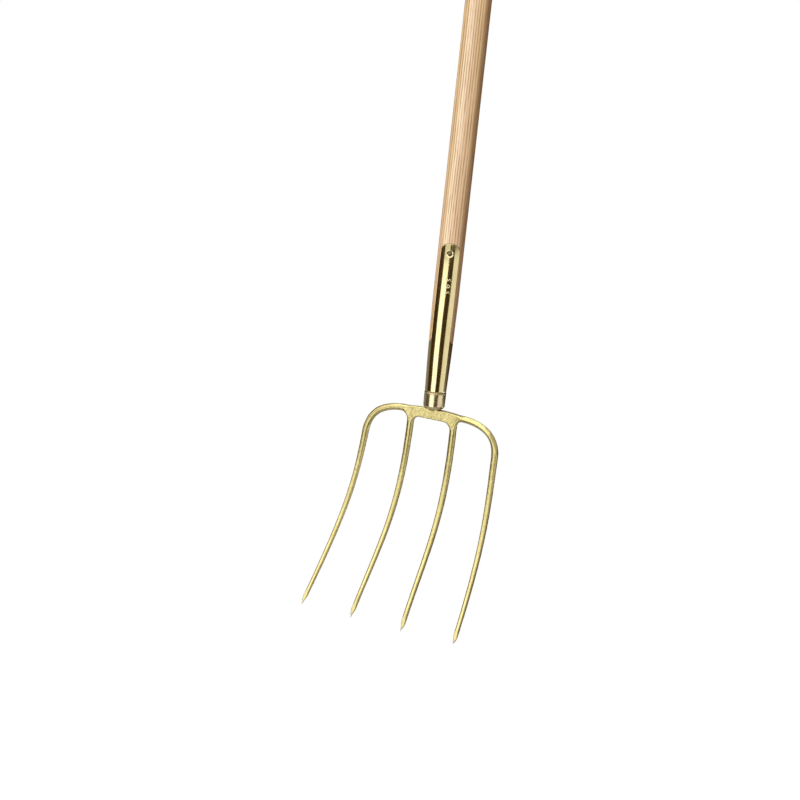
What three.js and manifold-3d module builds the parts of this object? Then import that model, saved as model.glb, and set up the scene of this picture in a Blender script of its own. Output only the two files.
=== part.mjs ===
// Four-tine fork with a strapped socket and a straight ash shaft.
//
// Units are millimetres. +Z runs up the shaft, X runs across the tines, and the tines curve
// forward, towards -Y. The origin is on the shaft's axis, at the flat underside of the web.

import * as THREE from 'three';
import Module from 'manifold-3d';
import { mergeVertices } from 'three/addons/utils/BufferGeometryUtils.js';

// ---------------------------------------------------------------- driving dimensions

// Web, the flat crosshead between the inner tines
const WEB_HEIGHT = 15.5;
const WEB_THICKNESS = 8.6;
const WEB_BEVEL = 1.3;
const WEB_HALF_LENGTH = 44;
const WEB_SHOULDER = 24;          // over this length its top falls to meet the arm
const OUTER_FILLET = 9;           // between an arm and its inner tine
const INNER_FILLET = 9;           // between the web and an inner tine

// Arms and tines, forged from the same bar
const BAR_WIDTH = 9.5;
const BAR_DEPTH = 9.5;            // front to back
const ARM_START_X = 40;
const ARM_RISE = 1.3;             // the arms' centre line above the middle of the web
const TINE_DROP = 274;            // from the middle of the web down to the points
const TINE_DISH = 114;            // how far forward of the web the points lie
const INNER_ROOT_X = 32.3;
const INNER_POINT_X = 38.2;
const OUTER_POINT_X = 3 * INNER_POINT_X;
const BEND_X = 98.4;              // where an outer tine leaves its bend
const BEND_DROP = 42.3;
const BEND_FORWARD = 3;
const ARM_OVERLAP = 0.2;          // keeps the web's end inside the arm
const TAPER_START = 40;           // below the middle of the web
const POINT_SCALE = 0.64;         // thickness where the ground point begins, over that of the bar
const TIP_SCALE = 0.16;
const POINT_LENGTH = 16;

// Control points of the curves: X, then shares of the dish and of the drop to the curve's end
const INNER_CONTROLS = [[INNER_ROOT_X + 2, 0.01, 0.55], [INNER_POINT_X - 3.8, -0.455, 0.641]];
const OUTER_CONTROLS = [[BEND_X + 3, -0.115, 0.44], [OUTER_POINT_X - 7.5, -0.235, 0.598]];
const BEND_START_X = 0.82 * BEND_X;
const BEND_SHARE = 0.4;

// Neck and tang, forged in one with the web
const NECK_RADIUS = 7.5;
const NECK_FOOT = 12.5;           // the neck flares from here to the web's top
const NECK_TOP = 24;
const TANG_SIDE = 10;
const TANG_TIP_SIDE = 4;
const TANG_TOP = 150;

// Ash shaft
const SHAFT_RADIUS = 17.5;
const SHAFT_BOTTOM = 20.5;
const SHAFT_TOP = 1370;
const SHAFT_RINGS = [500, 935];   // heights that divide its long round surface
const FLUSH_RADIUS = 16.6;        // of the wood between the shoulders
const BUTT_ROUNDING = 8;

// Socket: two pressed half shells, each a half tube at the bottom and a strap above it
const SOCKET_TURN = 21;           // degrees that the straps stand round from the front of the head
const SHEET = 1.8;
const SOCKET_BOTTOM = 20;
const NECKED_RADIUS = 13.9;       // inside the collar
const TUBE_FOOT_RADIUS = 15;      // just above the collar
const NECKING = 1.5;              // the height over which it widens from one to the other
const TUBE_TOP_RADIUS = 16.8;     // at the shoulders
const SHOULDER_LOW = 107;
const SHOULDER_HIGH = 117;
const SHOULDER_BEND = 1.5;
const STRAP_RADIUS = 17.8;
const STRAP_STRAIGHT_FROM = 165;  // the wood and the straps are parallel above this
const STRAP_HALF_WIDTH = 13;
const STRAP_ARCH = 10.5;
const STRAP_TOP = 244;

// Collar, a drawn cup that holds the two halves together
const COLLAR_TOP = 39;
const COLLAR_RADIUS = 15.4;
const COLLAR_FOOT_RADIUS = 15.2;
const COLLAR_ROUNDING = 5;
const COLLAR_RIM_HEIGHT = 1.2;
const COLLAR_RIM_PROUD = 0.25;
const COLLAR_FLOOR = 3;
const COLLAR_CHAMFER = 1.2;       // inside, round its floor

// Rivet through both straps and the shaft
const RIVET_Z = 230;
const RIVET_RADIUS = 2.5;
const RIVET_HEAD_RADIUS = 3.4;
const RIVET_HEAD_HEIGHT = 1.2;
const DISH_RADIUS = 4.7;
const DISH_DEPTH = 1.1;

const GAP = 0.3;                  // left between pieces that touch
const OVERCUT = 5;                // how far a cut reaches past the surface it cuts
const ROUND_SEGMENTS = 48;
const SMALL_SEGMENTS = 24;
const BAR_SIDES = 10;
const INNER_STEPS = 17;
const OUTER_STEPS = 25;

// ---------------------------------------------------------------- materials

const lacquer = new THREE.MeshStandardMaterial({ color: 0xc9b673, roughness: 0.45, metalness: 0.7 });
const sheetMetal = new THREE.MeshStandardMaterial({ color: 0xd8c893, roughness: 0.25, metalness: 0.9 });
const collarMetal = new THREE.MeshStandardMaterial({ color: 0xd2c0a0, roughness: 0.25, metalness: 0.9 });
const ash = new THREE.MeshStandardMaterial({ color: 0xdfc09a, roughness: 0.6, metalness: 0 });

// ---------------------------------------------------------------- solids from geometries

const wasm = await Module();
wasm.setup();

function solidOf(geometry) {
  const bare = geometry.clone();
  bare.deleteAttribute('normal');
  bare.deleteAttribute('uv');
  const merged = mergeVertices(bare, 1e-4);
  const vertProperties = new Float32Array(merged.attributes.position.array);
  const triVerts = new Uint32Array(merged.index.array);
  return new wasm.Manifold(new wasm.Mesh({ numProp: 3, vertProperties, triVerts }));
}

function geometryOf(solid) {
  const mesh = solid.getMesh();
  const positions = new THREE.BufferAttribute(new Float32Array(mesh.vertProperties), 3);
  const indexed = new THREE.BufferGeometry().setAttribute('position', positions);
  indexed.setIndex(new THREE.BufferAttribute(new Uint32Array(mesh.triVerts), 1));
  const geometry = indexed.toNonIndexed();
  geometry.computeVertexNormals();
  return geometry;
}

// Turns [radius, z] points about the Z axis.
function turned(profile) {
  const points = profile.map(([radius, z]) => new THREE.Vector2(radius, z));
  return new THREE.LatheGeometry(points, ROUND_SEGMENTS).rotateX(Math.PI / 2);
}

// Points along an arc, between two angles in degrees.
function arc(centreA, centreB, radius, from, to, steps = 4) {
  return Array.from({ length: steps + 1 }, (_, i) => {
    const angle = THREE.MathUtils.degToRad(THREE.MathUtils.lerp(from, to, i / steps));
    return [centreA + radius * Math.cos(angle), centreB + radius * Math.sin(angle)];
  });
}

// Extrudes a shape drawn in X and Z along Y, between two values of Y.
function slab(shape, fromY, toY, bevel = 0) {
  const geometry = new THREE.ExtrudeGeometry(shape, {
    depth: toY - fromY - 2 * bevel,
    curveSegments: 6,
    bevelEnabled: bevel > 0,
    bevelThickness: bevel,
    bevelSize: bevel,
    bevelOffset: -bevel,
    bevelSegments: 2,
  });
  return geometry.rotateX(Math.PI / 2).translate(0, toY - bevel, 0);
}

// A cylinder along Z between two heights, or a square bar when it has four sides.
function post(lowRadius, highRadius, lowZ, highZ, sides = ROUND_SEGMENTS) {
  const geometry = new THREE.CylinderGeometry(highRadius, lowRadius, highZ - lowZ, sides);
  return geometry.rotateX(Math.PI / 2).translate(0, 0, (lowZ + highZ) / 2);
}

// ---------------------------------------------------------------- head

const MIDDLE = WEB_HEIGHT / 2;
const tineZ = (drop) => MIDDLE - drop;

function bezier(side, ...points) {
  const corners = points.map(([x, y, drop]) => new THREE.Vector3(side * x, y, tineZ(drop)));
  return new THREE.CubicBezierCurve3(...corners);
}

const shares = (controls) => controls.map(([x, dish, drop]) => [x, dish * TINE_DISH, drop * TINE_DROP]);

function pathOf(...curves) {
  const path = new THREE.CurvePath();
  curves.forEach((curve) => path.add(curve));
  return path;
}

// An inner tine runs straight down from the web, then sweeps forward.
function innerTine(side) {
  return pathOf(bezier(
    side,
    [INNER_ROOT_X, 0, 0],
    ...shares(INNER_CONTROLS),
    [INNER_POINT_X, -TINE_DISH, TINE_DROP],
  ));
}

// An outer tine starts as an arm that leaves the web level, bends down, then sweeps forward.
function outerTine(side) {
  const bendEnd = [BEND_X, -BEND_FORWARD, BEND_DROP];
  const arm = bezier(
    side,
    [ARM_START_X, 0, -ARM_RISE],
    [BEND_START_X, 0, -ARM_RISE],
    [BEND_X, 0, BEND_SHARE * BEND_DROP],
    bendEnd,
  );
  const outerPoint = [OUTER_POINT_X, -TINE_DISH, TINE_DROP];
  const sweep = bezier(side, bendEnd, ...shares(OUTER_CONTROLS), outerPoint);
  return pathOf(arm, sweep);
}

// A tapered bar of rounded section along a path, closed at both ends, with a ground point.
// The section's depth stays as near to Y as the path allows.
function pointedBar(path, steps) {
  const pointStart = 1 - POINT_LENGTH / path.getLength();
  const stations = Array.from({ length: steps + 1 }, (_, i) => (pointStart * i) / steps);
  stations.push(1);
  const scaleAt = (station, z) => {
    if (station === 1) return TIP_SCALE;
    const fall = (tineZ(TAPER_START) - z) / (TINE_DROP - TAPER_START);
    return THREE.MathUtils.lerp(1, POINT_SCALE, THREE.MathUtils.clamp(fall, 0, 1));
  };

  const positions = [];
  for (const station of stations) {
    const centre = path.getPoint(station);
    const tangent = path.getTangent(Math.min(station, 0.999));
    const depth = new THREE.Vector3(0, 1, 0).projectOnPlane(tangent).normalize();
    const across = new THREE.Vector3().crossVectors(tangent, depth);
    const scale = scaleAt(station, centre.z) / 2;
    for (let k = 0; k < BAR_SIDES; k += 1) {
      const angle = ((k + 0.5) / BAR_SIDES) * 2 * Math.PI;
      const point = centre.clone();
      point.addScaledVector(across, Math.cos(angle) * BAR_WIDTH * scale);
      point.addScaledVector(depth, Math.sin(angle) * BAR_DEPTH * scale);
      positions.push(...point.toArray());
    }
  }

  const indices = [];
  const last = (stations.length - 1) * BAR_SIDES;
  for (let ring = 0; ring < last; ring += BAR_SIDES) {
    for (let k = 0; k < BAR_SIDES; k += 1) {
      const a = ring + k;
      const b = ring + ((k + 1) % BAR_SIDES);
      indices.push(a, b + BAR_SIDES, b, a, a + BAR_SIDES, b + BAR_SIDES);
    }
  }
  for (let k = 1; k < BAR_SIDES - 1; k += 1) {
    indices.push(0, k, k + 1);
    indices.push(last, last + k + 1, last + k);
  }
  const geometry = new THREE.BufferGeometry();
  geometry.setAttribute('position', new THREE.Float32BufferAttribute(positions, 3));
  geometry.setIndex(indices);
  return geometry;
}

// The web's outline, with the fillets that run into the arms and the inner tines.
function webShape() {
  const shape = new THREE.Shape();
  const armUnderside = MIDDLE + ARM_RISE - BAR_WIDTH / 2;
  const outerSide = INNER_ROOT_X + BAR_WIDTH / 2;
  const innerSide = INNER_ROOT_X - BAR_WIDTH / 2;
  const stubZ = -INNER_FILLET - 1;
  const armTop = MIDDLE + ARM_RISE + BAR_WIDTH / 2;
  const half = [
    [innerSide - INNER_FILLET, 0],
    ...arc(innerSide - INNER_FILLET, -INNER_FILLET, INNER_FILLET, 90, 0, 5).slice(1),
    [innerSide, stubZ],
    [outerSide, stubZ],
    ...arc(outerSide + OUTER_FILLET, armUnderside - OUTER_FILLET, OUTER_FILLET, 180, 90, 5),
    [WEB_HALF_LENGTH, armTop - ARM_OVERLAP],
    [WEB_HALF_LENGTH - WEB_SHOULDER, WEB_HEIGHT],
  ];
  const mirrored = half.map(([x, z]) => [-x, z]).reverse();
  [...half, ...mirrored].forEach(([x, z], i) => (i === 0 ? shape.moveTo(x, z) : shape.lineTo(x, z)));
  shape.closePath();
  return shape;
}

// The neck and the square tang above it, grown on every side by a clearance.
function tangSolid(clearance = 0) {
  const cornerOf = (side) => (side / 2 + clearance) * Math.SQRT2;
  const neckRadius = NECK_RADIUS + clearance;
  const flare = post(WEB_THICKNESS / 2 - WEB_BEVEL, neckRadius, NECK_FOOT, WEB_HEIGHT, SMALL_SEGMENTS);
  const neck = post(neckRadius, neckRadius, WEB_HEIGHT, NECK_TOP + clearance, SMALL_SEGMENTS);
  const tang = post(cornerOf(TANG_SIDE), cornerOf(TANG_TIP_SIDE), WEB_HEIGHT, TANG_TOP + clearance, 4);
  return solidOf(flare).add(solidOf(neck)).add(solidOf(tang.rotateZ(Math.PI / 4)));
}

function forkHead() {
  let head = solidOf(slab(webShape(), -WEB_THICKNESS / 2, WEB_THICKNESS / 2, WEB_BEVEL));
  for (const side of [-1, 1]) {
    head = head.add(solidOf(pointedBar(innerTine(side), INNER_STEPS)));
    head = head.add(solidOf(pointedBar(outerTine(side), OUTER_STEPS)));
  }
  return geometryOf(head.add(tangSolid()));
}

// ---------------------------------------------------------------- collar

function endCollar() {
  const footZ = WEB_HEIGHT + GAP;
  const rimZ = COLLAR_TOP - COLLAR_RIM_HEIGHT;
  const boreRadius = NECKED_RADIUS + GAP;
  const floorZ = footZ + COLLAR_FLOOR;
  const tangHole = NECK_RADIUS + GAP;
  return turned([
    [tangHole, footZ],
    ...arc(COLLAR_FOOT_RADIUS - COLLAR_ROUNDING, footZ + COLLAR_ROUNDING, COLLAR_ROUNDING, -90, 0, 5),
    [COLLAR_RADIUS, rimZ - COLLAR_RIM_PROUD],
    [COLLAR_RADIUS + COLLAR_RIM_PROUD, rimZ],
    [COLLAR_RADIUS + COLLAR_RIM_PROUD, COLLAR_TOP - COLLAR_RIM_PROUD],
    [COLLAR_RADIUS, COLLAR_TOP],
    [boreRadius, COLLAR_TOP],
    [boreRadius, floorZ + COLLAR_CHAMFER],
    [boreRadius - COLLAR_CHAMFER, floorZ],
    [tangHole, floorZ],
    [tangHole, footZ],
  ]);
}

// ---------------------------------------------------------------- socket

// The outline of a half shell seen square on: the half tube, its shoulders and the strap.
function shellShape(clearance = 0) {
  const wide = 2 * STRAP_RADIUS;
  const strapX = STRAP_HALF_WIDTH + clearance;
  const shoulder = SHOULDER_LOW + clearance;
  const shape = new THREE.Shape();
  shape.moveTo(-wide, SOCKET_BOTTOM - clearance);
  shape.lineTo(wide, SOCKET_BOTTOM - clearance);
  shape.lineTo(wide, shoulder);
  shape.lineTo(STRAP_RADIUS, shoulder);
  shape.quadraticCurveTo(strapX, shoulder + SHOULDER_BEND, strapX, SHOULDER_HIGH + clearance);
  shape.lineTo(strapX, STRAP_TOP - STRAP_ARCH);
  shape.absellipse(0, STRAP_TOP - STRAP_ARCH, strapX, STRAP_ARCH + clearance, 0, Math.PI, false);
  shape.lineTo(-strapX, SHOULDER_HIGH + clearance);
  shape.quadraticCurveTo(-strapX, shoulder + SHOULDER_BEND, -STRAP_RADIUS, shoulder);
  shape.lineTo(-wide, shoulder);
  shape.closePath();
  return shape;
}

// The sheet as a whole ring, before its shells are cut out of it. The outside can be grown and
// the inside reduced, to cut the seat for the sheet out of the wood.
function sheetRing(outward = 0, inward = 0) {
  const outside = [
    [NECKED_RADIUS, SOCKET_BOTTOM - inward],
    [NECKED_RADIUS, COLLAR_TOP],
    [TUBE_FOOT_RADIUS, COLLAR_TOP + NECKING],
    [TUBE_TOP_RADIUS, SHOULDER_LOW],
    [STRAP_RADIUS, STRAP_STRAIGHT_FROM],
    [STRAP_RADIUS, STRAP_TOP + OVERCUT],
  ];
  const inside = outside.map(([radius, z]) => [radius - SHEET - inward, z]).reverse();
  const ring = [...outside.map(([radius, z]) => [radius + outward, z]), ...inside];
  return solidOf(turned([...ring, ring[0]]));
}

// The dish pressed into a strap round the rivet, a cone that opens forward.
function dishSolid() {
  const floorY = STRAP_RADIUS - DISH_DEPTH;
  const mouthY = STRAP_RADIUS + DISH_DEPTH;
  const mouthRadius = DISH_RADIUS + (DISH_RADIUS - RIVET_HEAD_RADIUS - GAP);
  const floorRadius = RIVET_HEAD_RADIUS + GAP;
  const cone = new THREE.CylinderGeometry(floorRadius, mouthRadius, mouthY - floorY, SMALL_SEGMENTS);
  return solidOf(cone.translate(0, -(floorY + mouthY) / 2, RIVET_Z));
}

function rivetHole() {
  const radius = RIVET_RADIUS + GAP;
  const hole = new THREE.CylinderGeometry(radius, radius, 4 * STRAP_RADIUS, SMALL_SEGMENTS);
  return solidOf(hole.translate(0, 0, RIVET_Z));
}

// The half shell that faces forward; the other one is this one turned half a turn.
function socketHalf() {
  const outline = solidOf(slab(shellShape(), -2 * STRAP_RADIUS, -GAP / 2));
  return geometryOf(sheetRing().intersect(outline).subtract(dishSolid()).subtract(rivetHole()));
}

function strapRivet() {
  const underHead = STRAP_RADIUS - DISH_DEPTH + GAP;
  const top = underHead + RIVET_HEAD_HEIGHT;
  const domeRadius = (RIVET_HEAD_RADIUS ** 2 + RIVET_HEAD_HEIGHT ** 2) / (2 * RIVET_HEAD_HEIGHT);
  const edgeAngle = THREE.MathUtils.radToDeg(Math.asin(RIVET_HEAD_RADIUS / domeRadius));
  const dome = arc(0, top - domeRadius, domeRadius, 90 - edgeAngle, 90);
  const upper = [[RIVET_RADIUS, underHead], ...dome.slice(0, -1), [0, top]];
  const lower = upper.map(([radius, y]) => [radius, -y]).reverse();
  const points = [...lower, ...upper].map(([radius, y]) => new THREE.Vector2(radius, y));
  return new THREE.LatheGeometry(points, SMALL_SEGMENTS).translate(0, 0, RIVET_Z);
}

// ---------------------------------------------------------------- shaft

function ashShaft() {
  const whole = solidOf(turned([
    [0, SHAFT_BOTTOM],
    [NECKED_RADIUS - SHEET - GAP, SHAFT_BOTTOM],
    [NECKED_RADIUS, COLLAR_TOP],
    [FLUSH_RADIUS, SHOULDER_LOW],
    [SHAFT_RADIUS, STRAP_STRAIGHT_FROM],
    ...SHAFT_RINGS.map((z) => [SHAFT_RADIUS, z]),
    ...arc(SHAFT_RADIUS - BUTT_ROUNDING, SHAFT_TOP - BUTT_ROUNDING, BUTT_ROUNDING, 0, 90, 5),
    [0, SHAFT_TOP],
  ]));
  const frontSeat = slab(shellShape(GAP), -2 * STRAP_RADIUS, GAP);
  const backSeat = frontSeat.clone().rotateZ(Math.PI);
  const sheet = sheetRing(OVERCUT, GAP);
  const seats = sheet.intersect(solidOf(frontSeat).add(solidOf(backSeat)));
  return geometryOf(whole.subtract(seats).subtract(rivetHole()));
}

// ---------------------------------------------------------------- assembly

const fork = new THREE.Group();

function addPiece(parent, name, geometry, material) {
  const mesh = new THREE.Mesh(geometry, material);
  mesh.name = name;
  parent.add(mesh);
  return mesh;
}

addPiece(fork, 'fork_head', forkHead(), lacquer);
addPiece(fork, 'end_collar', endCollar(), collarMetal);

// The tang stands square to the head, so its bore is cut before the shaft is turned with the socket.
const turn = THREE.MathUtils.degToRad(SOCKET_TURN);
const shaftSolid = solidOf(ashShaft().rotateZ(turn)).subtract(tangSolid(GAP));
addPiece(fork, 'shaft', geometryOf(shaftSolid), ash);

const socket = new THREE.Group();
socket.rotation.z = turn;
fork.add(socket);
addPiece(socket, 'socket_front', socketHalf(), sheetMetal);
addPiece(socket, 'socket_back', socketHalf(), sheetMetal).rotation.z = Math.PI;
addPiece(socket, 'strap_rivet', strapRivet(), sheetMetal);

export default fork;
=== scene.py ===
"""Four-tine fork: the fine meshes, finishes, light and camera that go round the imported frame.

Shapes are worked out in millimetres and become Blender meshes in metres. +Z runs up the shaft,
X across the tines, and -Y is the front, where the tines curve to.
"""

import math

import bmesh
import bpy
import numpy as np
from mathutils import Matrix, Vector, noise


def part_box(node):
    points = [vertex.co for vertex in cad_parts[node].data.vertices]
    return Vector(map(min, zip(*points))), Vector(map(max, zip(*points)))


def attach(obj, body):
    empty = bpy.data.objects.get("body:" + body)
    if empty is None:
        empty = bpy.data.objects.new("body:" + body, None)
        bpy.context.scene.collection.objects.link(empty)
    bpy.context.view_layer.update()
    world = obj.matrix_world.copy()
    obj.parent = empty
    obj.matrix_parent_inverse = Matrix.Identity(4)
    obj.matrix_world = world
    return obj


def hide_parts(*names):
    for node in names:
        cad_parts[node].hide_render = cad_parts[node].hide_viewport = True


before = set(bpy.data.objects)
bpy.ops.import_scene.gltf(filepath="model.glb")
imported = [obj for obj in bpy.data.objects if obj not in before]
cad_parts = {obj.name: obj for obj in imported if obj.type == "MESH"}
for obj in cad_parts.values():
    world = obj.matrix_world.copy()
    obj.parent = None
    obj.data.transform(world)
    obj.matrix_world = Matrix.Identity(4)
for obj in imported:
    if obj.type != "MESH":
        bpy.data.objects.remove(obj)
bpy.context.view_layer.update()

MM = 0.001


def node_box(name):
    """The lowest and highest corners of a CAD node, in millimetres."""
    low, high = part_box(name)
    return np.array(low) / MM, np.array(high) / MM


HEAD_LOW, HEAD_HIGH = node_box("fork_head")
COLLAR_LOW, COLLAR_HIGH = node_box("end_collar")
SOCKET_LOW, SOCKET_HIGH = node_box("socket_front")
SHAFT_LOW, SHAFT_HIGH = node_box("shaft")
RIVET_LOW, RIVET_HIGH = node_box("strap_rivet")

# ------------------------------------------------------------------ driving dimensions, mm

# head
WEB_HEIGHT = 15.5
WEB_THICKNESS = 8.6
WEB_EDGE = 1.7                    # width of the web's rounded edges
WEB_HALF_LENGTH = 50.0
MIDDLE = WEB_HEIGHT / 2
LEFT_FILLETS = (11.0, 8.0)        # outside and inside the left inner tine, where it leaves the web
RIGHT_FILLETS = (7.0, 10.5)
BAR_WIDTH = 9.5
SECTION_POWER = 2.1               # of a tine: 2 is a true ellipse, more is squarer
LEFT_ARM_POWER = 2.1
RIGHT_ARM_POWER = 1.12            # this arm is hammered to a crest along its front
ARM_RISE = 1.3
ARM_TOP = MIDDLE + ARM_RISE + BAR_WIDTH / 2
ARM_UNDERSIDE = ARM_TOP - BAR_WIDTH
POINT_Z = HEAD_LOW[2] + 0.3
TINE_DROP = MIDDLE - POINT_Z
TINE_DISH = 114.0
INNER_ROOT_X = 32.3
INNER_POINT_X = 38.2
OUTER_POINT_X = 3 * INNER_POINT_X
ARM_START_X = 40.0
BEND_X = 98.4
BEND_DROP = 42.3
BEND_FORWARD = 3.0
TAPER_START = 40.0
POINT_SCALE = 0.64                # of the bar's thickness, where the ground point begins
TIP_SCALE = 0.12
POINT_LENGTH = 18.0
SIDE_FLATS = 0.8                  # length of the point's flats, as shares of POINT_LENGTH
FRONT_FLATS = 1.25
POINT_LEAN = 0.12                 # how far off centre the point is ground
INNER_STOUTNESS = {1: 1.03, -1: 0.98}    # no two tines are drawn down quite alike
OUTER_STOUTNESS = {1: 0.98, -1: 0.93}
STOUT_FROM = 0.25                 # the share of its fall in which a tine takes its stoutness
DENTS = [(0.16, 11, 1), (0.07, 4, 2)]    # height, wave length and seed of the hammer's marks

# control points of the tines' curves: X, then shares of the dish and of the drop
BEND_START_X = 0.82 * BEND_X
BEND_SHARE = 0.4
INNER_CONTROLS = [(INNER_ROOT_X + 2, 0.01, 0.55), (INNER_POINT_X - 3.8, -0.455, 0.641)]
OUTER_CONTROLS = [(BEND_X + 3, -0.115, 0.44), (OUTER_POINT_X - 7.5, -0.235, 0.598)]

# ranges of X and of Z over which one form of the crosshead gives way to the next
JOIN_HIGH = -23.0                 # the crosshead's outline gives way to the bars between these
JOIN_LOW = -37.0
PLAN_FOOT = -50.0                 # the outline's lines go no further down
TOP_FALLS_X = (14.0, 42.0)        # from the web's height to the arms'
UNDERSIDE_RISES_X = (28.0, 37.0)
FILLETS_END_Z = (5.0, 9.0)
LEAST_FILLET = 0.3
ROUND_FROM_X = (30.0, 52.0)       # from the web's flat section to the bar's round one
ROUND_BELOW_Z = (2.0, -15.0)
CREST_X = (37.0, 44.0)            # the arm's own section holds from here out to the bend
CREST_Z = (-32.0, -8.0)
NECK_RADIUS = 7.5
NECK_FOOT = 12.5                  # the neck flares from here to the web's top
NECK_TOP = 24.0
TANG_SIDE = 10.0
TANG_TIP_SIDE = 4.0
TANG_POWER = 6                    # a square section with rounded corners
TANG_TOP = HEAD_HIGH[2]
BLOCK_X = (30.0, 36.0, 44.0)      # where the web's first block is level, steps up and ends

# socket and collar
SOCKET_TURN = math.radians(21)
SHEET = 1.8
SOCKET_BOTTOM = SOCKET_LOW[2]
STRAP_TOP = SOCKET_HIGH[2]
NECKED_RADIUS = 13.9
TUBE_FOOT_RADIUS = 15.0
TUBE_TOP_RADIUS = 16.8
NECKING = 1.5                     # the height over which the tube widens above the collar
SHOULDER_LOW = 107.0
SHOULDER_HIGH = 117.0
SHOULDER_BEND = 1.5
STRAP_RADIUS = 17.8
STRAP_STRAIGHT_FROM = 165.0
STRAP_HALF_WIDTH = 13.0
STRAP_ARCH = 10.5
COLLAR_FOOT = COLLAR_LOW[2]
COLLAR_TOP = COLLAR_HIGH[2]
COLLAR_RADIUS = 15.15
COLLAR_FOOT_RADIUS = 14.9
COLLAR_ROUNDING = 5.3
COLLAR_RIM = 0.75                 # radius of the rolled rim
COLLAR_RIM_PROUD = 0.22
COLLAR_WAIST = 0.12               # how far the wall draws in under the rim
COLLAR_FLOOR = 3.0
COLLAR_CORNER = 1.5               # inside, round its floor

# rivet and its dish
RIVET_Z = (RIVET_LOW[2] + RIVET_HIGH[2]) / 2
RIVET_HEAD_RADIUS = 2.9
RIVET_HEAD_HEIGHT = 0.7
DISH_RADIUS = 4.7
DISH_DEPTH = 0.8
DISH_SLOPE = 2.3                  # width of its sloping wall
DISH_CURVE = 1.2

# shaft
SHAFT_RADIUS = (SHAFT_HIGH[0] - SHAFT_LOW[0]) / 2
SHAFT_BOTTOM = SHAFT_LOW[2]
SHAFT_TOP = SHAFT_HIGH[2]
BUTT_ROUNDING = 8.0
WOOD_FLUSH = 0.2                  # the wood between the straps lies this far inside the tube's top

# fits, edges and the strap's end
GAP = 0.3
SEAT_GAP = 0.1                    # between the wood and the sheet let into it
SEAM_ANGLE = math.radians(0.5)    # between the two half shells
SHEET_EDGE = 0.6                  # rounding of the sheet's outer edges
RIVET_RADIUS = 2.5
RIVET_SPAN = 2 * (STRAP_RADIUS + 0.3)
STRAP_BENT_FROM = 216.0           # the strap's end is hammered down into the wood
STRAP_END_DROP = 0.8
SWELL = 0.12                      # a faint unevenness of the pressed sheet, drifting along it
SWELL_DRIFT = 1.6
SWELL_LENGTH = 26.0

# punch marks on the straps
MARK_Z = 187.0                    # the middle mark
MARK_SHIFT = 2.0
MARK_STEP = 8.5
MARK_DEPTH = 0.3
MARK_REACH = 13                   # the rows are closer together this far from MARK_Z
RING_RADIUS = 1.9
RING_WIDTH = 1.0
WAVE_HEIGHT = 1.1
WAVE_TURN = 1.5                   # radians of the wave in each millimetre
WAVE_WIDTH = 1.2
WAVE_ENDS = (3.0, 3.6)

# rows of points up the sheet and the wood
ROW = 1.2
FINE_ROW = 0.3
LONG_ROW = 9.0

VOXEL = 0.75                      # of the head's first, blocky mesh

PITH_REACH = 0.06                 # from the tree's middle to the shaft's, in metres
# the ring centre sits off to the camera's left, so the wood's brown layer falls on the shaft's right
# side as painted shade
PITH_TURN = math.radians(25)
PITH = (PITH_REACH * math.cos(PITH_TURN), PITH_REACH * math.sin(PITH_TURN), 0.0)
RINGS = 300.0                     # growth rings in each metre

# camera and studio
CAMERA_ROUND = math.radians(25.22)    # to the right of the front
CAMERA_UP = math.radians(11.563)
CAMERA_ROLL = math.radians(6.037)
CAMERA_SHIFT = (45.08, -19.17)
CAMERA_DISTANCE = 2100.0
CAMERA_LENS = 69.03
CAMERA_SIDE = CAMERA_ROUND - math.pi / 2
SOFT_BOXES = [                    # from, to, lowest, highest, in degrees, and brightness
    (-53, -9, -28, -6, 2.45),
    (-54, -9, -6, 3, 1.0),
    (-100, 20, 3, 46, 1.9),
    (20, 75, 3, 46, 0.7),
    (80, 125, -34, -14, 1.2),
    (34, 86, -22, -1, 1.25),
    (-120, 20, 46, 90, 2.7),
    (-142, -100, -40, -8, 0.28),
    (-190, -150, -30, 60, 0.8),
    (150, 190, -30, 60, 0.2),
]
BOX_BLUR = 2.0
ROOM = (0.066, 0.037, 0.010)
CEILING = (40, 60, 0, 0.3)        # from and to in degrees above the level, and brightness there
GROUND = (-20, -40, 0, 0.35)
FLOOR_RADIUS = 1500.0
FLOOR_Z = -870.0
FLOOR_SIDES = 96


# ------------------------------------------------------------------ meshes

def new_object(name, points, faces):
    """An object in metres from points in millimetres."""
    mesh = bpy.data.meshes.new(name)
    mesh.from_pydata([tuple(p) for p in np.asarray(points) * MM], [], faces)
    mesh.validate()
    mesh.update()
    mesh.shade_smooth()
    piece = bpy.data.objects.new(name, mesh)
    bpy.context.scene.collection.objects.link(piece)
    return piece


def object_of(made, name):
    """An object from a bmesh, which it frees."""
    mesh = bpy.data.meshes.new(name)
    made.to_mesh(mesh)
    made.free()
    piece = bpy.data.objects.new(name, mesh)
    bpy.context.scene.collection.objects.link(piece)
    return piece


def apply_modifiers(piece):
    graph = bpy.context.evaluated_depsgraph_get()
    mesh = bpy.data.meshes.new_from_object(piece.evaluated_get(graph))
    piece.modifiers.clear()
    piece.data = mesh


def mesh_points(piece):
    flat = np.zeros(3 * len(piece.data.vertices))
    piece.data.vertices.foreach_get("co", flat)
    return flat.reshape(-1, 3) / MM


def move_points(piece, points):
    piece.data.vertices.foreach_set("co", (points * MM).ravel())
    piece.data.update()


def ring_faces(ring_count, ring_size, close_rings=False):
    """Quads between successive closed rings of points."""
    faces = []
    last = ring_count if close_rings else ring_count - 1
    for i in range(last):
        low = i * ring_size
        high = ((i + 1) % ring_count) * ring_size
        for k in range(ring_size):
            n = (k + 1) % ring_size
            faces.append((low + k, low + n, high + n, high + k))
    return faces


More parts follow.
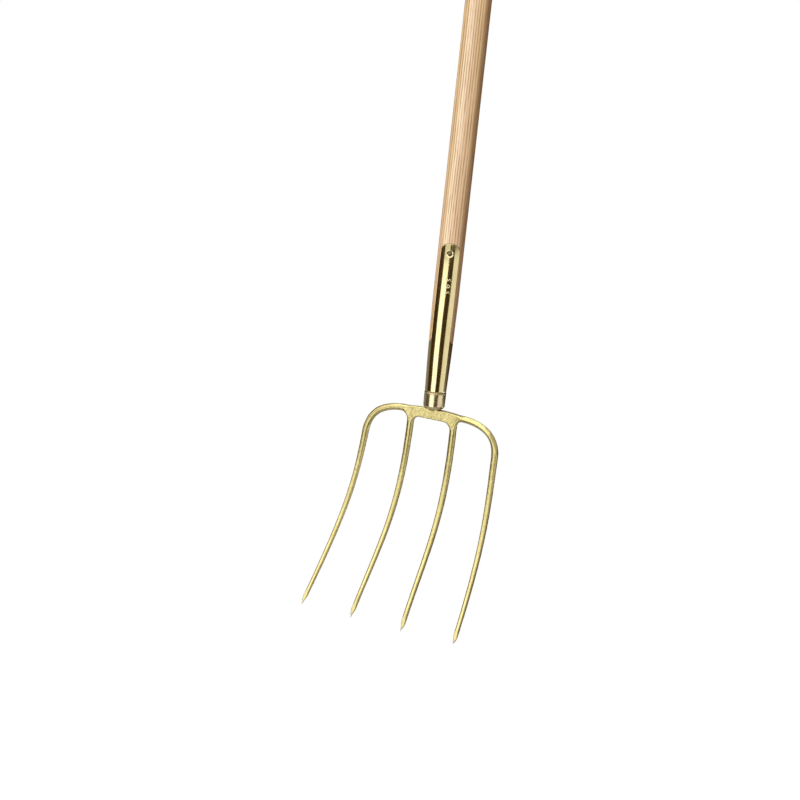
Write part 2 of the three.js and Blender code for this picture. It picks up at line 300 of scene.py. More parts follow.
def lofted(name, rings):
    """A closed surface through rings that all have the same number of points."""
    rings = np.asarray(rings)
    count, size = rings.shape[:2]
    faces = ring_faces(count, size)
    faces.append(tuple(reversed(range(size))))
    faces.append(tuple(range((count - 1) * size, count * size)))
    return new_object(name, rings.reshape(-1, 3), faces)


def turned(name, profile, segments=160, closed=False):
    """Turns (radius, z) points about Z; a profile that isn't closed starts and ends on the axis."""
    profile = np.asarray(profile, float)
    angles = np.linspace(0, 2 * math.pi, segments, endpoint=False)
    body = profile if closed else profile[1:-1]
    rings = np.stack([
        np.outer(body[:, 0], np.cos(angles)),
        np.outer(body[:, 0], np.sin(angles)),
        np.repeat(body[:, 1:2], segments, axis=1),
    ], axis=-1)
    points = rings.reshape(-1, 3)
    faces = ring_faces(len(body), segments, close_rings=closed)
    if not closed:
        bottom, top = len(points), len(points) + 1
        points = np.vstack([points, [0, 0, profile[0, 1]], [0, 0, profile[-1, 1]]])
        last = (len(body) - 1) * segments
        for k in range(segments):
            n = (k + 1) % segments
            faces.append((bottom, n, k))
            faces.append((top, last + k, last + n))
    return new_object(name, points, faces)


def arc(centre_a, centre_b, radius, start, end, steps):
    """Points on a circle between two angles in degrees."""
    angles = np.radians(np.linspace(start, end, steps + 1))
    return [(centre_a + radius * math.cos(a), centre_b + radius * math.sin(a)) for a in angles]


def smooth_step(low, high, value):
    t = np.clip((value - low) / (high - low), 0, 1)
    return t * t * (3 - 2 * t)


def ripple(points, scale, seed):
    """Smooth noise from -1 to 1 at each point, with waves of about `scale` millimetres."""
    shift = Vector((17.3 * seed, 5.1 * seed, -9.7 * seed))
    return np.array([noise.noise(Vector(p) / scale + shift) for p in points])


# ------------------------------------------------------------------ head: curves

def bezier(points, count):
    """A cubic curve from its four control points."""
    t = np.linspace(0, 1, count)[:, None]
    a, b, c, d = (np.asarray(p, float) for p in points)
    return (1 - t) ** 3 * a + 3 * (1 - t) ** 2 * t * b + 3 * (1 - t) * t ** 2 * c + t ** 3 * d


def placed_controls(controls):
    """Control points in millimetres, from their X and their shares of the dish and the drop."""
    return [(x, dish * TINE_DISH, MIDDLE - drop * TINE_DROP) for x, dish, drop in controls]


def inner_line():
    """Centre line of the right inner tine: straight down, then swept forward."""
    root = (INNER_ROOT_X, 0, MIDDLE)
    tip = (INNER_POINT_X, -TINE_DISH, POINT_Z)
    return bezier([root] + placed_controls(INNER_CONTROLS) + [tip], 140)


def outer_line():
    """Centre line of the right outer tine: the level arm, the bend, then the sweep forward."""
    bend_end = (BEND_X, -BEND_FORWARD, MIDDLE - BEND_DROP)
    start = (ARM_START_X, 0, MIDDLE + ARM_RISE)
    arm = bezier([
        start,
        (BEND_START_X, 0, MIDDLE + ARM_RISE),
        (BEND_X - 1, 0.2, MIDDLE - BEND_SHARE * BEND_DROP),
        bend_end,
    ], 60)
    tip = (OUTER_POINT_X, -TINE_DISH, POINT_Z)
    sweep = bezier([bend_end] + placed_controls(OUTER_CONTROLS) + [tip], 120)
    root = np.linspace((INNER_ROOT_X - 4, 0, MIDDLE + ARM_RISE), start, 8)
    return np.vstack([root[:-1], arm, sweep[1:]])


class Bar:
    """A tapered bar of rounded section along a line, on the right or mirrored to the left."""

    def __init__(self, line, side, stoutness):
        self.side = side
        self.line = line * (side, 1, 1)
        tangent = np.gradient(self.line, axis=0)
        self.tangent = tangent / np.linalg.norm(tangent, axis=1, keepdims=True)
        depth = np.array([0, 1, 0]) - self.tangent * self.tangent[:, 1:2]
        self.depth = depth / np.linalg.norm(depth, axis=1, keepdims=True)
        self.across = np.cross(self.tangent, self.depth)
        steps = np.linalg.norm(np.diff(self.line, axis=0), axis=1)
        self.to_tip = np.concatenate([np.cumsum(steps[::-1])[::-1], [0]])
        fall = np.clip((MIDDLE - TAPER_START - self.line[:, 2]) / (TINE_DROP - TAPER_START), 0, 1)
        share = 1 + (stoutness - 1) * np.clip(fall / STOUT_FROM, 0, 1)
        self.radius = BAR_WIDTH / 2 * (1 + (POINT_SCALE - 1) * fall) * share

    def rings(self, size=20):
        """Round sections for the first block, tapered to the point."""
        angles = np.linspace(0, 2 * math.pi, size, endpoint=False)[None, :, None]
        spread = np.cos(angles) * self.across[:, None] + np.sin(angles) * self.depth[:, None]
        ground = np.clip(self.to_tip / POINT_LENGTH, TIP_SCALE, 1)
        return self.line[:, None] + spread * (self.radius * ground)[:, None, None]

    def at(self, values, place):
        """Values given along the line, read at fractional indices."""
        low = np.minimum(place.astype(int), len(values) - 2)
        t = place - low
        if values.ndim > 1:
            t = t[:, None]
        return values[low] * (1 - t) + values[low + 1] * t

    def beside(self, points):
        """For points next to the falling part, their places on the line as fractional indices."""
        falling = self.line[::-1, 2]
        place = np.interp(points[:, 2], falling, np.arange(len(falling))[::-1])
        for _ in range(4):
            step = self.at(np.gradient(self.line, axis=0), place)
            off = points - self.at(self.line, place)
            place += np.einsum("ij,ij->i", off, step) / np.einsum("ij,ij->i", step, step)
            place = np.clip(place, 0, len(falling) - 1)
        return place

    def in_plan(self, points):
        """The same for any point seen from the front, by trying every step of the upper part."""
        line = self.line[self.line[:, 2] > PLAN_FOOT][:, (0, 2)]
        places = points[:, (0, 2)]
        best = np.full(len(points), np.inf)
        place = np.zeros(len(points))
        for i in range(len(line) - 1):
            step = line[i + 1] - line[i]
            t = np.clip((places - line[i]) @ step / (step @ step), 0, 1)
            off = places - line[i] - t[:, None] * step
            far = np.einsum("ij,ij->i", off, off)
            closer = far < best
            best[closer] = far[closer]
            place[closer] = (i + t)[closer]
        return place

    def surface(self, points, place):
        """How far each point lies outside the bar, in millimetres, near its surface."""
        off = points - self.at(self.line, place)
        radius = self.at(self.radius, place)
        across = np.einsum("ij,ij->i", off, self.at(self.across, place))
        depth = np.einsum("ij,ij->i", off, self.at(self.depth, place))
        along = np.einsum("ij,ij->i", off, self.at(self.tangent, place))
        power = SECTION_POWER
        size = (np.abs(across / radius) ** power + np.abs(depth / radius) ** power) ** (1 / power)
        return np.maximum((size - 1) * radius, self.point(across, depth, along, place, radius))

    def point(self, across, depth, along, place, radius):
        """The four flats that the point is ground to; the front and back ones start higher."""
        to_tip = self.at(self.to_tip, place) - along
        tip = TIP_SCALE * radius
        lean = POINT_LEAN * radius * self.side
        wide = tip + (radius - tip) * to_tip / (SIDE_FLATS * POINT_LENGTH)
        deep = tip + (radius - tip) * to_tip / (FRONT_FLATS * POINT_LENGTH)
        return np.maximum(np.abs(across - lean) - wide, np.abs(depth) - deep)

    def inside_plan(self, points, place):
        """How deep each point lies inside the bar's outline seen from the front."""
        off = (points - self.at(self.line, place))[:, (0, 2)]
        return self.at(self.radius, place) - np.linalg.norm(off, axis=1)


# ------------------------------------------------------------------ head: surface

def filleted(a, b, radius):
    """The union of two insides, with a fillet of that radius in the corner between them."""
    reach = np.hypot(np.maximum(a + radius, 0), np.maximum(b + radius, 0))
    larger = np.maximum(a, b)
    return np.where((a > -radius) & (b > -radius), np.maximum(reach - radius, larger), larger)


class Head:
    """The forging as a surface: positive outside, negative inside.

    Above the join it is a plan outline with rounded edges; below, the four bars on their own.
    """

    def __init__(self):
        self.inner = [Bar(inner_line(), side, stout) for side, stout in INNER_STOUTNESS.items()]
        self.outer = [Bar(outer_line(), side, stout) for side, stout in OUTER_STOUTNESS.items()]

    def near(self, points):
        """Where each point lies along each bar, which changes little for nearby points."""
        low, high = points[:, 2] < JOIN_HIGH, points[:, 2] > JOIN_LOW
        places = []
        for bar in self.inner + self.outer:
            side = np.sign(points[:, 0]) == bar.side
            falls, flat = np.flatnonzero(low & side), np.flatnonzero(high & side)
            places.append((bar, falls, bar.beside(points[falls]), flat, bar.in_plan(points[flat])))
        return places

    def plan(self, points, near):
        """The outline seen from the front, as depth inside it."""
        x, z = np.abs(points[:, 0]), points[:, 2]
        top = WEB_HEIGHT - (WEB_HEIGHT - ARM_TOP) * smooth_step(*TOP_FALLS_X, x)
        bottom = ARM_UNDERSIDE * smooth_step(*UNDERSIDE_RISES_X, x)
        web = np.minimum(WEB_HALF_LENGTH - x, np.minimum(top - z, z - bottom))
        tines = np.full(len(points), -1e3)
        for bar, _, _, flat, place in near:
            depth = bar.inside_plan(points[flat], place)
            if bar in self.inner:
                tines[flat] = np.maximum(tines[flat], depth)
            else:
                web[flat] = np.maximum(web[flat], depth)
        radius = np.where(points[:, 0] > 0, np.where(x > INNER_ROOT_X, *RIGHT_FILLETS),
                          np.where(x > INNER_ROOT_X, *LEFT_FILLETS))
        underneath = 1 - smooth_step(*FILLETS_END_Z, z)
        return filleted(web, tines, LEAST_FILLET + (radius - LEAST_FILLET) * underneath)

    def crosshead(self, points, near):
        """The web, arms and bends: a plan outline with rounded edges, thinner at the web."""
        x, z = np.abs(points[:, 0]), points[:, 2]
        away = np.maximum(smooth_step(*ROUND_FROM_X, x), smooth_step(*ROUND_BELOW_Z, z))
        radius = BAR_WIDTH / 2
        edge = WEB_EDGE + (radius - WEB_EDGE) * away
        half = WEB_THICKNESS / 2 + (radius - WEB_THICKNESS / 2) * away
        inward = np.maximum(edge - self.plan(points, near), 0) / edge
        depth = np.abs(points[:, 1] - self.forward(points)) / half
        on_arm = smooth_step(*CREST_X, x) * smooth_step(*CREST_Z, z)
        arm_power = np.where(points[:, 0] > 0, RIGHT_ARM_POWER, LEFT_ARM_POWER)
        power = SECTION_POWER + (arm_power - SECTION_POWER) * on_arm
        rounded = (inward ** power + depth ** power) ** (1 / power)
        return (rounded - 1) * np.minimum(edge, half)

    def forward(self, points):
        """The centre surface's Y at each point."""
        x, z = np.abs(points[:, 0]), points[:, 2]
        inner, outer = self.inner[0].line[::-1], self.outer[0].line[::-1]
        return np.where(x > (INNER_ROOT_X + BEND_X) / 2, np.interp(z, outer[:, 2], outer[:, 1]),
                        np.interp(z, inner[:, 2], inner[:, 1]))

    def tang(self, points):
        """The round neck, flared from the web, and the square tang above it."""
        x, y, z = points.T
        flare = np.interp(z, [NECK_FOOT, WEB_HEIGHT], [WEB_THICKNESS / 2 - 0.2, NECK_RADIUS])
        neck = np.maximum(np.hypot(x, y) - flare, np.maximum(z - NECK_TOP, NECK_FOOT - z))
        side = np.interp(z, [NECK_TOP, TANG_TOP], [TANG_SIDE, TANG_TIP_SIDE]) / 2
        square = (np.abs(x) / side) ** TANG_POWER + (np.abs(y) / side) ** TANG_POWER
        square = square ** (1 / TANG_POWER) * side - side
        return np.minimum(neck, np.maximum(square, np.maximum(z - TANG_TOP, WEB_HEIGHT - z)))

    def surface(self, points, near):
        """How far each point lies outside the head, in millimetres, near its surface."""
        z = points[:, 2]
        tines = np.full(len(points), 1e3)
        for bar, falls, place, _, _ in near:
            tines[falls] = np.minimum(tines[falls], bar.surface(points[falls], place))
        top = self.crosshead(points, near)
        share = smooth_step(JOIN_LOW + 1, JOIN_HIGH - 1, z)
        joined = np.where(share == 0, tines, np.where(share == 1, top, tines + (top - tines) * share))
        return np.where(z > MIDDLE, np.minimum(joined, self.tang(points)), joined)


def settle(points, head, rounds, reach=0.05, most=0.6):
    """Moves points onto the head's surface, along its slope."""
    points = points.copy()
    for _ in range(rounds):
        near = head.near(points)
        value = head.surface(points, near)
        slope = np.stack([
            (head.surface(points + step, near) - head.surface(points - step, near)) / (2 * reach)
            for step in np.eye(3) * reach
        ], axis=1)
        steep = np.maximum(np.einsum("ij,ij->i", slope, slope), 0.2)
        move = -(value / steep)[:, None] * slope
        size = np.linalg.norm(move, axis=1, keepdims=True)
        points += move * np.minimum(1, most / np.maximum(size, 1e-9))
    return points


def relaxed(piece, points, share=0.5):
    """Each point moved part of the way to the middle of its neighbours."""
    edges = np.zeros(2 * len(piece.data.edges), int)
    piece.data.edges.foreach_get("vertices", edges)
    a, b = edges.reshape(-1, 2).T
    total = np.zeros_like(points)
    count = np.zeros(len(points))
    for one, other in ((a, b), (b, a)):
        np.add.at(total, one, points[other])
        np.add.at(count, one, 1)
    return points + share * (total / count[:, None] - points)


def plate(name, outline):
    """A plate as thick as the web, from its outline in X and Z."""
    half = WEB_THICKNESS / 2
    return lofted(name, [[(x, y, z) for x, z in outline] for y in (half, -half)])


def web_block():
    """The web as one upright plate, stepped up at its ends to meet the arms."""
    level, step, end = BLOCK_X
    right_half = [(level, 0), (step, ARM_UNDERSIDE), (end, ARM_UNDERSIDE), (end, ARM_TOP),
                  (level, WEB_HEIGHT)]
    return plate("web", right_half + [(-x, z) for x, z in reversed(right_half)])


def gussets():
    """A plate under each corner that a fillet will fill."""
    reach = BAR_WIDTH / 2 - 1
    made = []
    for side, (outside, inside) in ((1, RIGHT_FILLETS), (-1, LEFT_FILLETS)):
        for way, radius, top in ((1, outside, ARM_UNDERSIDE), (-1, inside, 0)):
            corner = INNER_ROOT_X + way * reach
            curve = [(corner + way * (1 + radius - a), top - radius + b)
                     for a, b in arc(0, 0, radius, 0, 90, 8)]
            outline = [(corner, top + 1), (corner, top - radius)] + curve
            outline.append((corner + way * (1 + radius), top + 1))
            made.append(plate("gusset", [(side * x, z) for x, z in outline]))
    return made


def neck_block():
    angles = np.linspace(0, 2 * math.pi, 25)[:-1]
    levels = ((WEB_THICKNESS / 2, NECK_FOOT), (NECK_RADIUS, WEB_HEIGHT), (NECK_RADIUS, NECK_TOP))
    return lofted("neck", [[(r * math.cos(a), r * math.sin(a), z) for a in angles] for r, z in levels])


def square_bar(name, levels):
    """An upright bar of square section, from its side and height at each level."""
    corners = ((-1, -1), (1, -1), (1, 1), (-1, 1))
    return lofted(name, [[(side * x / 2, side * y / 2, z) for x, y in corners] for side, z in levels])


def head_block(head):
    """Overlapping closed solids of the head's parts, joined by a voxel remesh."""
    parts = [lofted("bar", bar.rings()) for bar in head.inner + head.outer]
    parts += [web_block()] + gussets() + [neck_block()]
    parts.append(square_bar("tang", ((TANG_SIDE, WEB_HEIGHT), (TANG_TIP_SIDE, TANG_TOP))))
    block = bmesh.new()
    for part in parts:
        block.from_mesh(part.data)
        bpy.data.objects.remove(part)
    bmesh.ops.recalc_face_normals(block, faces=block.faces)
    piece = object_of(block, "forged_head")
    remesh = piece.modifiers.new("voxels", "REMESH")
    remesh.mode = "VOXEL"
    remesh.voxel_size = VOXEL * MM
    apply_modifiers(piece)
    return piece


def forged_head():
    head = Head()
    piece = head_block(head)
    points = mesh_points(piece)
    for _ in range(4):
        points = settle(relaxed(piece, points), head, rounds=1)
    points = settle(points, head, rounds=3)
    points = dented(piece, points)
    move_points(piece, np.clip(points, HEAD_LOW, HEAD_HIGH))
    piece.data.shade_smooth()
    return piece


def dented(piece, points):
    """The hammer's faint unevenness, fading out on the ground points."""
    move_points(piece, points)
    normals = np.zeros(3 * len(points))
    piece.data.vertices.foreach_get("normal", normals)
    normals = normals.reshape(-1, 3)
    fade = smooth_step(POINT_Z, POINT_Z + 2 * POINT_LENGTH, points[:, 2])
    waves = sum(height * ripple(points, length, seed) for height, length, seed in DENTS)
    return points + normals * (waves * fade)[:, None]


# ------------------------------------------------------------------ socket

def shell_radius(z):
    """Outer radius of the sheet at each height."""
    return np.interp(z, [COLLAR_TOP, COLLAR_TOP + NECKING, SHOULDER_LOW, STRAP_STRAIGHT_FROM],
                     [NECKED_RADIUS, TUBE_FOOT_RADIUS, TUBE_TOP_RADIUS, STRAP_RADIUS])


def shell_half_width(z, clearance=0.0):
    """Half the width of a half shell seen square on: half tube, shoulders, strap and arch."""
    t = np.linspace(0, 1, 80)
    strap = STRAP_HALF_WIDTH + clearance
    low, high = SHOULDER_LOW + clearance, SHOULDER_HIGH + clearance
    out = (1 - t) ** 2 * STRAP_RADIUS + 2 * (1 - t) * t * strap + t * t * strap
    up = (1 - t) ** 2 * low + 2 * (1 - t) * t * (low + SHOULDER_BEND) + t * t * high
    width = np.interp(z, up, out)
    arch = np.clip((z - (STRAP_TOP - STRAP_ARCH)) / (STRAP_ARCH + clearance), 0, 1)
    return width * np.sqrt(1 - arch ** 2)


def shell_half_angle(z, radius, clearance=0.0):
    """Half the angle that the sheet, or its seat in the wood, takes up round the shaft."""
    width = np.minimum(shell_half_width(z, clearance), radius * math.cos(SEAM_ANGLE))
    return np.arcsin(np.clip(width / radius, 0, 1))


def shell_heights(clearance=0.0):
    """Rows from the foot to the top of the arch, close together where the outline turns."""
    low, spring = SHOULDER_LOW + clearance, STRAP_TOP - STRAP_ARCH
    arch = spring + (STRAP_ARCH + clearance) * np.sin(np.linspace(0, math.radians(88.5), 26))
    return np.concatenate([
        SOCKET_BOTTOM + np.array([0, 0.1, 0.3, 0.6]),
        np.arange(SOCKET_BOTTOM + 1.5, low - 0.3, ROW),
        low + np.array([-0.25, -0.1, 0]),
        np.arange(low + 0.08, low + 1.6, 0.1),
        np.arange(low + 1.7, SHOULDER_HIGH + 1, 0.4),
        np.arange(SHOULDER_HIGH + ROW, MARK_Z - MARK_REACH, ROW),
        np.arange(MARK_Z - MARK_REACH, MARK_Z + MARK_REACH, FINE_ROW),
        np.arange(MARK_Z + MARK_REACH, RIVET_Z - DISH_RADIUS - ROW, ROW),
        np.arange(RIVET_Z - DISH_RADIUS - 1, spring, FINE_ROW),
        arch,
    ])


def from_outline(around, z):
    """Distance to the edge of the sheet, measured on the sheet itself."""
    heights = shell_heights()
    radius = shell_radius(heights)
    side = radius * shell_half_angle(heights, radius)
    line = np.stack([np.concatenate([[0], side, [0]]),
                     np.concatenate([heights[:1], heights, heights[-1:]])], axis=1)
    places = np.stack([np.abs(around), z], axis=-1)
    best = np.full(around.shape, np.inf)
    for a, b in zip(line[:-1], line[1:]):
        step = b - a
        if step @ step < 1e-12:
            continue
        t = np.clip((places - a) @ step / (step @ step), 0, 1)
        best = np.minimum(best, np.linalg.norm(places - a - t[..., None] * step, axis=-1))
    return best


def groove(distance, width, depth):
    """A rounded groove's depth at a distance from its centre line."""
    return depth * (1 - smooth_step(0.25 * width, 0.5 * width, np.abs(distance)))


def punch_marks(around, z):
    """Three plain punched signs: a ring between two short waves."""
    ring = groove(np.hypot(around, z - MARK_Z) - RING_RADIUS, RING_WIDTH, MARK_DEPTH)
    wave = np.zeros_like(around)
    for middle in (MARK_Z - MARK_STEP, MARK_Z + MARK_STEP):
        line = middle + WAVE_HEIGHT * np.sin(around * WAVE_TURN)
        ends = 1 - smooth_step(*WAVE_ENDS, np.abs(around))
        wave += groove(z - line, WAVE_WIDTH, MARK_DEPTH) * ends
    return ring + wave


def socket_half(name, facing):
    """One pressed half shell. `facing` turns its middle to a direction round the shaft."""
    heights = shell_heights()[:, None]
    columns = np.sin(np.linspace(-1, 1, 121) * math.pi / 2)[None, :]
    radius = shell_radius(heights)
    half = shell_half_angle(heights, radius)
    angle = half * columns
    around = radius * angle
    z = heights + 0 * columns
    edge = np.clip(from_outline(around, z) / SHEET_EDGE, 0, 1)
    rounded = SHEET_EDGE * (1 - np.sqrt(1 - (1 - edge) ** 2))
    to_rivet = np.hypot(around, z - RIVET_Z)
    dish = DISH_DEPTH * np.clip((DISH_RADIUS + GAP - to_rivet) / DISH_SLOPE, 0, 1) ** DISH_CURVE
    bent = np.clip((z - STRAP_BENT_FROM) / (STRAP_TOP - STRAP_BENT_FROM), 0, 1)
    outer = radius - rounded - dish - punch_marks(around - MARK_SHIFT, z) - STRAP_END_DROP * bent ** 2
    outer -= SWELL * (1 + np.cos(2 * angle + SWELL_DRIFT * np.sin(z / SWELL_LENGTH)))
    inner = radius - SHEET
    outer_ring = np.stack([outer * np.sin(angle), -outer * np.cos(angle), z], axis=-1)
    back = angle[:, ::-3]
    inner_ring = np.stack([inner * np.sin(back), -inner * np.cos(back), heights + 0 * back], axis=-1)
    rings = np.concatenate([outer_ring, inner_ring], axis=1)
    piece = lofted(name, rings)
    drill(piece, RIVET_RADIUS + GAP)
    spin(piece, facing)
    return piece


def spin(piece, angle):
    piece.data.transform(Matrix.Rotation(angle, 4, "Z"))


def rod(radius, start, end, segments=48):
    """A plain cylinder between two points, used only to cut holes."""
    start, end = Vector(start) * MM, Vector(end) * MM
    made = bmesh.new()
    turn = (end - start).to_track_quat("Z", "Y").to_matrix().to_4x4()
    place = Matrix.Translation((start + end) / 2) @ turn
    bmesh.ops.create_cone(made, cap_ends=True, segments=segments, radius1=radius * MM,
                          radius2=radius * MM, depth=(end - start).length, matrix=place)
    return object_of(made, "rod")


def cut(piece, tool):
    """Takes the tool's shape out of the piece and removes the tool."""
    change = piece.modifiers.new("cut", "BOOLEAN")
    change.operation = "DIFFERENCE"
    change.solver = "EXACT"
    change.object = tool
    apply_modifiers(piece)
    bpy.data.objects.remove(tool)
    piece.data.shade_smooth()


def drill(piece, radius):
    """The rivet's hole, front to back."""
    reach = 2 * STRAP_RADIUS
    cut(piece, rod(radius, (0, -reach, RIVET_Z), (0, reach, RIVET_Z)))


# ------------------------------------------------------------------ collar and rivet

def end_collar():
    """The drawn cup round the foot of the socket, with a rolled rim."""
    foot = COLLAR_FOOT
    rim = COLLAR_RIM
    bore = NECKED_RADIUS + GAP
    tang_hole = NECK_RADIUS + GAP
    corner_z = foot + (COLLAR_FLOOR + COLLAR_CORNER)
    profile = [(tang_hole, foot + 0.3), (tang_hole + 0.3, foot)]
    profile += arc(COLLAR_FOOT_RADIUS - COLLAR_ROUNDING, foot + COLLAR_ROUNDING,
                   COLLAR_ROUNDING, -90, 0, 24)
    profile += [(COLLAR_RADIUS - 0.05, COLLAR_TOP - 4 * rim),
                (COLLAR_RADIUS - COLLAR_WAIST, COLLAR_TOP - 2.3 * rim)]
    profile += arc(COLLAR_RADIUS + COLLAR_RIM_PROUD - rim, COLLAR_TOP - rim, rim, -60, 100, 16)
    profile += [(bore, COLLAR_TOP - 0.3), (bore, corner_z)]
    profile += arc(bore - COLLAR_CORNER, corner_z, COLLAR_CORNER, 0, -90, 6)
    profile += [(tang_hole, foot + COLLAR_FLOOR)]
    return turned("socket_collar", profile, closed=True)


def rivet():
    """A pin with a low domed head at each end, lying front to back."""
    under = RIVET_SPAN / 2 - RIVET_HEAD_HEIGHT
    head = RIVET_HEAD_RADIUS
    dome = (head ** 2 + RIVET_HEAD_HEIGHT ** 2) / (2 * RIVET_HEAD_HEIGHT)
    edge = math.degrees(math.acos(head / dome))
    half = [(RIVET_RADIUS, under - 0.2), (RIVET_RADIUS + 0.1, under), (head - 0.15, under)]
    cap = arc(0, RIVET_SPAN / 2 - dome, dome, edge, 90, 18)
    half += [(head, under + 0.12)] + [(0.98 * r, z) for r, z in cap[1:-1]]
    low = [(r, -z) for r, z in reversed(half)]
    profile = [(0, -RIVET_SPAN / 2)] + low + half + [(0, RIVET_SPAN / 2)]
    piece = turned("strap_rivet_pin", profile, segments=72)
    piece.data.transform(Matrix.Rotation(math.pi / 2, 4, "X"))
    piece.data.transform(Matrix.Translation((0, 0, RIVET_Z * MM)))
    spin(piece, SOCKET_TURN)
    return piece


# ------------------------------------------------------------------ shaft

def wood_radius(z):
    """The round of the shaft, where no strap is let into it."""
    fall = np.clip((z - (SHAFT_TOP - BUTT_ROUNDING)) / BUTT_ROUNDING, 0, 1)
    butt = BUTT_ROUNDING * (1 - np.sqrt(1 - fall ** 2))
    straight = np.interp(z, [SHOULDER_LOW, STRAP_STRAIGHT_FROM],
                         [TUBE_TOP_RADIUS - WOOD_FLUSH, SHAFT_RADIUS])
    return straight - butt


def shaft_heights():
    """Rows up the shaft, the same as the straps' along their seats."""
    seats = shell_heights(GAP)
    seats = seats[seats > SHAFT_BOTTOM + 1]
    arch_end = STRAP_TOP + GAP
    return np.concatenate([
        SHAFT_BOTTOM + np.array([0, 0.3, 0.8]),
        seats,
        [arch_end + 0.01, arch_end + 0.4, arch_end + 2],
        np.arange(arch_end + 8, SHAFT_TOP - BUTT_ROUNDING - 2, LONG_ROW),
        SHAFT_TOP - BUTT_ROUNDING + BUTT_ROUNDING * np.sin(np.linspace(0, math.pi / 2, 16)),
    ])


def shaft_rings():
    """Rings of four stretches each: a seat at the front, a side, a seat at the back, a side."""
    z = shaft_heights()[:, None]
    whole = wood_radius(z)
    seat = shell_radius(z) - SHEET - SEAT_GAP
    in_tube = z < SHOULDER_LOW + SEAT_GAP
    by_strap = z < STRAP_TOP + SEAT_GAP
    half = shell_half_angle(z, whole, SEAT_GAP)
    half = np.where(in_tube, math.pi / 2 - 0.01, np.where(by_strap, half, 0.001))
    wall = 0.004                  # the angle that a seat's side wall takes up
    across = np.linspace(-1, 1, 41)[None, :]
    angles, radii = [], []
    for middle, is_seat in ((-math.pi / 2, True), (0, False), (math.pi / 2, True), (math.pi, False)):
        angles.append(middle + (half - wall if is_seat else math.pi / 2 - half) * across)
        radius = np.where(by_strap if is_seat else in_tube, seat, whole)
        radii.append(np.repeat(radius, across.shape[1], axis=1))
    angles = np.concatenate(angles, axis=1)
    radii = np.minimum(np.concatenate(radii, axis=1), SHAFT_RADIUS)
    return np.stack([radii * np.cos(angles), radii * np.sin(angles), z + 0 * angles], axis=-1)


def shaft():
    """The ash shaft, with a seat let in for each strap and its foot inside the socket."""
    piece = lofted("ash_shaft", shaft_rings())
    drill(piece, RIVET_RADIUS + GAP)
    spin(piece, SOCKET_TURN)
    grow = SEAT_GAP * 2
    below = SHAFT_BOTTOM - 5      # the cuts start outside the wood
    levels = ((TANG_SIDE + 2 * grow, below), (TANG_TIP_SIDE + 2 * grow, TANG_TOP + grow))
    cut(piece, square_bar("tang_bore", levels))
    cut(piece, rod(NECK_RADIUS + grow, (0, 0, below), (0, 0, NECK_TOP + grow)))
    return piece


# ------------------------------------------------------------------ node materials

class Nodes:
    """Short names for building one node tree."""

    def __init__(self, tree):
        self.tree = tree
        tree.nodes.clear()

    def add(self, kind, inputs=None, out=0, **settings):
        """Adds a node; inputs are numbers, colours or other nodes' outputs. Returns one output."""
        node = self.tree.nodes.new("ShaderNode" + kind)
        for key, value in settings.items():
            setattr(node, key, value)
        for key, value in (inputs or {}).items():
            if isinstance(value, bpy.types.NodeSocket):
                self.tree.links.new(value, node.inputs[key])
            else:
                node.inputs[key].default_value = value
        return node.outputs[out]

    def math(self, operation, a, b=0.0):
        return self.add("Math", {0: a, 1: b}, operation=operation)

    def noise(self, where, scale, detail=3.0, roughness=0.5):
        return self.add("TexNoise", {"Vector": where, "Scale": scale, "Detail": detail,
                                     "Roughness": roughness})

    def stretched(self, where, scale):
        return self.add("Mapping", {"Vector": where, "Scale": scale})

    def between(self, value, low, high, start=0.0, end=1.0):
        """A smooth step from start to end as the value goes from low to high."""
        return self.add("MapRange", {"Value": value, "From Min": low, "From Max": high,
                                     "To Min": start, "To Max": end}, interpolation_type="SMOOTHSTEP")

    def mix(self, share, a, b):
        node = self.tree.nodes.new("ShaderNodeMix")
        node.data_type = "RGBA"
        for key, value in (("Factor", share), ("A", a), ("B", b)):
            socket = [s for s in node.inputs if s.name == key and s.enabled][0]
            if isinstance(value, bpy.types.NodeSocket):
                self.tree.links.new(value, socket)
            else:
                socket.default_value = value
        return [s for s in node.outputs if s.enabled][0]

    def surface(self, shader, kind="OutputMaterial"):
        out = self.tree.nodes.new("ShaderNode" + kind)
        self.tree.links.new(shader, out.inputs["Surface"])


def new_material(name):
    material = bpy.data.materials.new(name)
    material.use_nodes = True
    return material, Nodes(material.node_tree)


def bumped(nodes, height, distance):
    """A normal from a height between 0 and 1, which stands for that distance in metres."""
    return nodes.add("Bump", {"Height": height, "Distance": distance, "Strength": 1.0})


def lacquered_sheet(name, colour, deep_colour, roughness):
    """Pressed steel under a thin gold lacquer: glossy, with faint draw lines and a slight wave."""
    material, nodes = new_material(name)
    where = nodes.add("TexCoord", out=3)
    cloud = nodes.noise(where, 45.0)
    lines = nodes.noise(nodes.stretched(where, (1.0, 1.0, 0.03)), 900.0, detail=4.0)
    specks = nodes.noise(where, 1600.0, detail=2.0)
    colour = nodes.mix(nodes.between(cloud, 0.35, 0.7), colour, deep_colour)
    gloss = nodes.math("ADD", nodes.between(lines, 0.3, 0.75, roughness - 0.025, roughness + 0.05),
                       nodes.between(specks, 0.55, 0.75, 0.0, 0.05))
    height = nodes.math("ADD", nodes.math("MULTIPLY", lines, 0.35), nodes.math("MULTIPLY", specks, 0.2))
    shader = nodes.add("BsdfPrincipled", {
        "Base Color": colour, "Roughness": gloss, "Metallic": 1.0,
        "Coat Weight": 0.8, "Coat Roughness": 0.1, "Coat IOR": 1.75,
        "Normal": bumped(nodes, height, 0.000012),
    })
    nodes.surface(shader)
    return material


